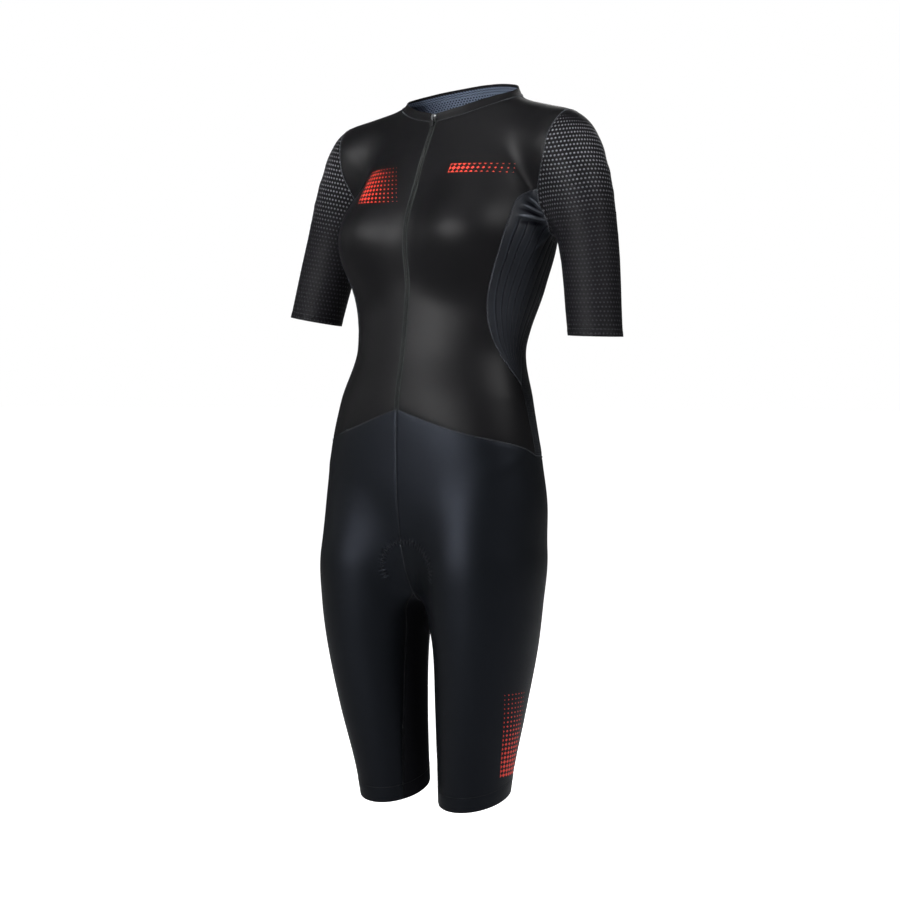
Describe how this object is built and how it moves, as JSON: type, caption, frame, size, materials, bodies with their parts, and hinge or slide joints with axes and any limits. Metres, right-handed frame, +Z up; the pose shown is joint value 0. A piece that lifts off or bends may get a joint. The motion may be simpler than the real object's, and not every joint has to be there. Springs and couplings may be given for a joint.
{
  "type": "triathlon suit",
  "caption": "Short-sleeved one-piece triathlon suit with front zip and knee-length legs, filled out as if worn.",
  "frame": {"origin": "middle of the line between the shoulders, inside the suit, where the wearer carries it", "axes": "+Z up, -Y to the front of the suit, +X to the wearer's left"},
  "size_m": [0.5205, 0.2569, 0.9707],
  "materials": {
    "bodice": "near-black warp knit with a soft satin sheen",
    "rib": "blue-black ribbed knit",
    "sleeve": "dark grey knit with raised paler dots",
    "mesh": "blue-grey open hexagon mesh knit",
    "band": "near-black folded knit band",
    "shorts": "blue-green black stretch knit with a broad sheen",
    "inner_leg": "dull black stretch knit",
    "pad": "brushed black seat pad",
    "zip": "grey-green coil on woven tape",
    "slider": "bright plated metal",
    "tab": "satin black"
  },
  "bodies": {
    "suit": {"front_left": "bodice", "front_right": "bodice", "side_left": "rib", "side_right": "rib", "back": "mesh", "sleeve_left": "sleeve", "sleeve_right": "sleeve", "neckband": "band", "zip_strip": "zip", "zip_slider": "slider", "shorts_left": "shorts", "shorts_right": "shorts", "inner_leg_left": "inner_leg", "inner_leg_right": "inner_leg", "seat_pad": "pad"},
    "zip_pull": {"zip_pull_tab": "tab"}
  },
  "joints": [
    {"name": "pull_tab_hinge", "type": "hinge", "parent": "suit", "child": "zip_pull", "pos_m": [0, -0.04791, -0.00851], "axis": [-1, 0, 0], "range_deg": [0, 150]}
  ]
}
